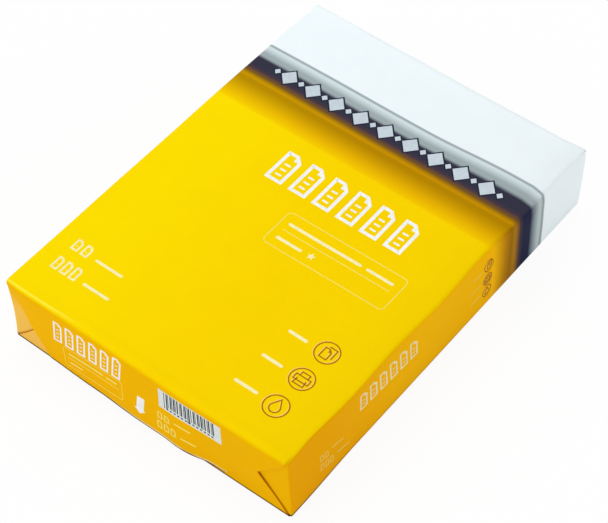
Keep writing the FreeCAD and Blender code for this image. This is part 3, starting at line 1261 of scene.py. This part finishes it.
def add_page_row(marks, low, high, count, thick, lines):
    """A row of pages that fills the space between two opposite corners."""
    (left, bottom), (right, top) = low, high
    pitch = (right - left) / (count - PAGE_SPACE)
    for number in range(count):
        start = left + number * pitch
        add_page(marks, (start, bottom), (start + pitch * (1 - PAGE_SPACE), top), thick, lines)


def rounded_box(low, high, radius, points=5):
    """The outline of a box with round corners, as a closed path."""
    (left, bottom), (right, top) = low, high
    path = []
    corners = [(right - radius, bottom + radius, -90), (right - radius, top - radius, 0),
               (left + radius, top - radius, 90), (left + radius, bottom + radius, 180)]
    for u, v, start in corners:
        turn = np.radians(np.linspace(start, start + 90, points))
        path += list(zip(u + radius * np.cos(turn), v + radius * np.sin(turn)))
    return path


def add_star(marks, middle, radius):
    """A five-pointed star: ten corners at even angles, at the radius and 0.42 of it by turns."""
    turn = np.radians(90 + 36 * np.arange(10))
    reach = np.where(np.arange(10) % 2 == 0, 1.0, 0.42)
    marks.plate(scaled(np.stack([reach * np.cos(turn), reach * np.sin(turn)], -1), middle, radius))


def add_lozenge(marks, middle, half_size):
    """A lozenge with its corners level with its middle and above and below it."""
    marks.plate(scaled([(1, 0), (0, 1), (-1, 0), (0, -1)], middle, half_size))


def add_pages_symbol(marks, middle, size, thick):
    """Two pages, one behind the other."""
    low, high = scaled([(-0.34, -0.48), (0.26, 0.34)], middle, size)
    add_page(marks, low, high, thick)
    marks.stroke(scaled([(-0.12, 0.46), (0.44, 0.46), (0.44, -0.26)], middle, size), thick)


def add_printer_symbol(marks, middle, size, thick):
    """A desk printer: its case, the sheet going in and the sheet coming out."""
    case = [(-0.52, -0.20), (0.52, -0.20), (0.52, 0.18), (-0.52, 0.18)]
    sheet_in = [(-0.28, 0.18), (-0.28, 0.46), (0.28, 0.46), (0.28, 0.18)]
    sheet_out = [(-0.30, -0.02), (-0.36, -0.46), (0.36, -0.46), (0.30, -0.02)]
    marks.stroke(scaled(case, middle, size), thick, closed=True)
    marks.stroke(scaled(sheet_in, middle, size), thick)
    marks.stroke(scaled(sheet_out, middle, size), thick)


def add_drop_symbol(marks, middle, size, thick):
    """A drop: most of a circle, drawn out to a point above it."""
    turn = np.radians(np.linspace(-215, 35, 22))
    bowl = 0.34 * np.stack([np.cos(turn), np.sin(turn)], -1) - (0, 0.14)
    marks.stroke(scaled([*bowl, (0, 0.54)], middle, size), thick, closed=True)


# The symbols, from the first ring to the last
SYMBOL_SHAPES = (add_pages_symbol, add_printer_symbol, add_drop_symbol)


def add_ringed(marks, add_symbol, middle, table):
    """One of the symbols in its ring."""
    marks.ring(middle, table["radius"], table["thick"])
    add_symbol(marks, middle, table["size"], table["thick"])


def add_print(pack, name):
    """One printed piece, from its table."""
    layout = PRINT[name]
    marks = Marks(pack, layout["panel"], **layout.get("askew", {}))
    for low, high, count, thick, lines in layout.get("pages", ()):
        add_page_row(marks, low, high, count, thick, lines)
    for low, high, radius, thick in layout.get("boxes", ()):
        marks.stroke(rounded_box(low, high, radius), thick, closed=True)
    for start, end, v, thick in layout.get("rules", ()):
        marks.stroke([(start, v), (end, v)], thick)
    for start, end, v, thick in layout.get("bars", ()):
        marks.bar((start, v), (end, v), thick)
    for middle, radius in layout.get("stars", ()):
        add_star(marks, middle, radius)
    marks.add_as(name, layout["ink"])


class REAM_OT_wrapper(bpy.types.Operator):
    """Build the wrapper out to its tucked-in side panels, with its stripes and the overlap under it"""

    bl_idname = "ream.wrapper"
    bl_label = "Wrapper"

    def execute(self, context):
        pack = Pack()
        rows = pack.warp(pack.block())
        piece = add_piece("wrapper", [loft(rows, fans=True)], paper("wrapper_paper", True), True)
        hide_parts(NODE)
        return {"FINISHED"}


class REAM_OT_flaps(bpy.types.Operator):
    """Lay the lower and the upper flap on each end"""

    bl_idname = "ream.flaps"
    bl_label = "End flaps"

    def execute(self, context):
        pack = Pack()
        layers = {"lower": paper("wrapper_paper", True), "upper": paper("flap_paper", False)}
        for end, end_name in ((NEAR, "near"), (FAR, "far")):
            for layer, material in layers.items():
                rows, edges = pack.flap(end, layer == "upper")
                name = end_name + "_" + layer + "_flap"
                add_piece(name, [loft(pack.warp(rows))], material, True, edges)
        return {"FINISHED"}


class REAM_OT_page_rows(bpy.types.Operator):
    """Print a row of pages on the top panel, the near end and the side"""

    bl_idname = "ream.page_rows"
    bl_label = "Rows of pages"

    def execute(self, context):
        pack = Pack()
        for name in ("page_row_top", "page_row_near", "page_row_side"):
            add_print(pack, name)
        return {"FINISHED"}


class REAM_OT_small_print(bpy.types.Operator):
    """Print the bars, the small pages, the star and the thin frames"""

    bl_idname = "ream.small_print"
    bl_label = "Small print"

    def execute(self, context):
        pack = Pack()
        for name in ("small_print_top", "frame_top", "frame_near", "small_print_near", "small_print_side",
                     "labels_side"):
            add_print(pack, name)
        return {"FINISHED"}


class REAM_OT_symbols(bpy.types.Operator):
    """Print the ringed symbols on the top panel and the side, each with a paler echo beside it"""

    bl_idname = "ream.symbols"
    bl_label = "Ringed symbols"

    def execute(self, context):
        pack = Pack()
        for panel, table in SYMBOLS.items():
            symbols = Marks(pack, panel, rise=UPPER_MARK_RISE)
            echoes = Marks(pack, panel)
            for middle, add_symbol in zip(table["middles"], SYMBOL_SHAPES):
                add_ringed(symbols, add_symbol, middle, table)
                add_ringed(echoes, add_symbol, np.add(middle, table["echo"]), table)
            symbols.add_as("symbols_" + panel, "brown_ink")
            echoes.add_as("symbol_echoes_" + panel, "echo_ink")
        return {"FINISHED"}


class REAM_OT_barcode(bpy.types.Operator):
    """Print the barcode's field and bars, and the arrow beside it, on the near end"""

    bl_idname = "ream.barcode"
    bl_label = "Barcode and arrow"

    def execute(self, context):
        pack = Pack()
        field = Marks(pack, "near")
        middle = (FIELD_LOW + FIELD_HIGH) / 2
        field.stroke([(FIELD_LEFT, middle), (FIELD_RIGHT, middle)], FIELD_HIGH - FIELD_LOW)
        field.add_as("barcode_field", "label_ink")
        bars = Marks(pack, "near", rise=UPPER_MARK_RISE)
        self.add_bars(bars)
        self.add_dashes(bars)
        bars.add_as("barcode_bars", "bar_ink")
        arrow = Marks(pack, "near", lean=ARROW_LEAN, pivot=(ARROW_MIDDLE, ARROW_PIVOT))
        arrow.stroke([(ARROW_MIDDLE, v) for v, _ in ARROW_OUTLINE], [width for _, width in ARROW_OUTLINE])
        arrow.add_as("handling_arrow", "white_ink")
        return {"FINISHED"}

    def add_bars(self, marks):
        """Bars and gaps that are one to three units wide, by remainders of how many came before."""
        u = FIELD_LEFT + BAR_ROOM_LEFT
        number = 0
        while u < FIELD_RIGHT - BAR_ROOM_RIGHT:
            wide = (1 + number * number % 4 % 3) * BAR_UNIT
            gap = (1 + (number * 5 + 2) % 7 % 3) * BAR_UNIT
            foot = FIELD_LOW + (LONG_BAR_ROOM if number in LONG_BARS else BAR_ROOM_BELOW)
            marks.stroke([(u + wide / 2, foot), (u + wide / 2, FIELD_HIGH - BAR_ROOM_ABOVE)], wide)
            u += wide + gap
            number += 1

    def add_dashes(self, marks):
        """A row of even dashes under the bars."""
        v = FIELD_LOW + DASH_LEVEL
        for u in np.arange(FIELD_LEFT + DASH_ROOM_LEFT, FIELD_RIGHT - DASH_ROOM_RIGHT, DASH_PITCH):
            marks.stroke([(u, v), (u + DASH_LENGTH, v)], DASH_HEIGHT)


class REAM_OT_ornament(bpy.types.Operator):
    """Print a straight row of rimmed lozenges, large and small by turns, along the top panel's dark stripe"""

    bl_idname = "ream.ornament"
    bl_label = "Row of lozenges"

    def execute(self, context):
        pack = Pack()
        rims = Marks(pack, "top")
        fillings = Marks(pack, "top", rise=UPPER_MARK_RISE)
        for kind in LOZENGES:
            for number in range(kind["count"]):
                middle = ((number - (kind["count"] - 1) / 2) * LOZENGE_PITCH, LOZENGE_PLACE)
                add_lozenge(rims, middle, kind["rim"])
                add_lozenge(fillings, middle, kind["filling"])
        rims.add_as("lozenge_rims", "bar_ink")
        fillings.add_as("lozenges", "pale_blue_ink")
        return {"FINISHED"}


def seen_directly(tree):
    """1 for rays from the camera, and for what gloss and glass show, and 0 for light that falls on things."""
    path = tree.add("ShaderNodeLightPath", {}, {}).socket.node
    camera, glossy, through = (Value(tree, path.outputs[name]) for name in
                               ("Is Camera Ray", "Is Glossy Ray", "Is Transmission Ray"))
    return tree.math("MINIMUM", camera + glossy + through, 1.0)


def add_sun(name, towards, strength, width):
    """A soft distant lamp, in the direction that its light comes from."""
    lamp = bpy.data.lights.new(name, "SUN")
    lamp.energy = strength
    lamp.angle = math.radians(width)
    lamp_object = bpy.data.objects.new(name, lamp)
    lamp_object.rotation_euler = Vector(towards).to_track_quat("Z", "Y").to_euler()
    bpy.context.scene.collection.objects.link(lamp_object)


def add_floor(stage):
    """A wide pale floor under the pack, white to the camera apart from the pack's soft shadow."""
    mesh = bpy.data.meshes.new("floor")
    x, y = np.meshgrid([-FLOOR_REACH, FLOOR_REACH], [-FLOOR_REACH, FLOOR_REACH])
    corners = np.stack([x.ravel(), y.ravel(), np.full(4, -FLOOR_DROP)], -1)
    mesh.from_pydata(corners, [], [(0, 1, 3, 2)])
    material = bpy.data.materials.new("floor")
    tree = Tree(material)
    matt = tree.add("ShaderNodeBsdfDiffuse", {}, {"Color": (FLOOR_SHADE, FLOOR_SHADE, FLOOR_SHADE, 1)})
    glow = tree.add("ShaderNodeEmission", {}, {"Color": (1, 1, 1, 1), "Strength": 1.0})
    share = seen_directly(tree) * stage.floor_share
    mixed = tree.add("ShaderNodeMixShader", {}, {0: share, 1: matt, 2: glow})
    tree.add("ShaderNodeOutputMaterial", {}, {0: mixed})
    mesh.materials.append(material)
    floor = bpy.data.objects.new("floor", mesh)
    bpy.context.scene.collection.objects.link(floor)


def add_world(stage):
    """Even light from all round, which the camera sees as white."""
    world = bpy.data.worlds.new("plain")
    bpy.context.scene.world = world
    tree = Tree(world)
    strength = stage.world_light + seen_directly(tree) * (1 - stage.world_light)
    sky = tree.add("ShaderNodeBackground", {}, {"Color": (1, 1, 1, 1), "Strength": strength})
    tree.add("ShaderNodeOutputWorld", {}, {0: sky})


def add_camera(stage):
    """The photograph's camera: turned round the target by the azimuth, raised by the elevation and rolled."""
    azimuth, elevation = stage.azimuth, stage.elevation
    forward = Vector((-math.sin(azimuth) * math.cos(elevation), math.cos(azimuth) * math.cos(elevation),
                      -math.sin(elevation)))
    level = forward.cross(Vector((0, 0, 1))).normalized()
    upright = level.cross(forward)
    right = math.cos(stage.roll) * level + math.sin(stage.roll) * upright
    up = right.cross(forward)
    lens = bpy.data.cameras.new("camera")
    lens.sensor_fit = "HORIZONTAL"
    lens.lens = stage.focal * lens.sensor_width / IMAGE_WIDTH
    camera = bpy.data.objects.new("camera", lens)
    turn = Matrix((right, up, -forward)).transposed().to_4x4()
    camera.matrix_world = Matrix.Translation(Vector(stage.target) - forward * stage.distance) @ turn
    bpy.context.scene.collection.objects.link(camera)
    bpy.context.scene.camera = camera


class REAM_OT_stage(bpy.types.Operator):
    """Add the floor, the soft light and the photograph's camera"""

    bl_idname = "ream.stage"
    bl_label = "Stage"

    def execute(self, context):
        stage = settings("stage")
        add_floor(stage)
        for name, lamp in LAMPS.items():
            add_sun(name, *lamp)
        add_world(stage)
        context.scene.view_settings.view_transform = "Standard"
        add_camera(stage)
        return {"FINISHED"}


class REAM_PT_panel(bpy.types.Panel):
    """The ream's pieces in the 3D view's sidebar"""

    bl_label = "Ream"
    bl_idname = "REAM_PT_panel"
    bl_space_type = "VIEW_3D"
    bl_region_type = "UI"
    bl_category = "Ream"

    def draw(self, context):
        for operator in OPERATORS:
            self.layout.operator(operator.bl_idname)
        for name, group in GROUPS.items():
            box = self.layout.box()
            for key in group.__annotations__:
                box.prop(settings(name), key)


OPERATORS = (REAM_OT_wrapper, REAM_OT_flaps, REAM_OT_page_rows, REAM_OT_small_print, REAM_OT_symbols,
             REAM_OT_barcode, REAM_OT_ornament, REAM_OT_stage)
GROUPS = {"shape": ReamShape, "stripes": ReamStripes, "inks": ReamInks, "stage": ReamStage}
CLASSES = (*GROUPS.values(), *OPERATORS, REAM_PT_panel)


def register():
    """Tells Blender of the classes, and gives the scene its groups of sizes and colours."""
    for kind in CLASSES:
        bpy.utils.register_class(kind)
    for name, group in GROUPS.items():
        setattr(bpy.types.Scene, "ream_" + name, PointerProperty(type=group))


def unregister():
    """Takes back what register did."""
    for name in GROUPS:
        delattr(bpy.types.Scene, "ream_" + name)
    for kind in reversed(CLASSES):
        bpy.utils.unregister_class(kind)


def main():
    register()
    bpy.ops.ream.wrapper()
    bpy.ops.ream.flaps()
    bpy.ops.ream.page_rows()
    bpy.ops.ream.small_print()
    bpy.ops.ream.symbols()
    bpy.ops.ream.barcode()
    bpy.ops.ream.ornament()
    bpy.ops.ream.stage()


if __name__ == "__main__":
    main()
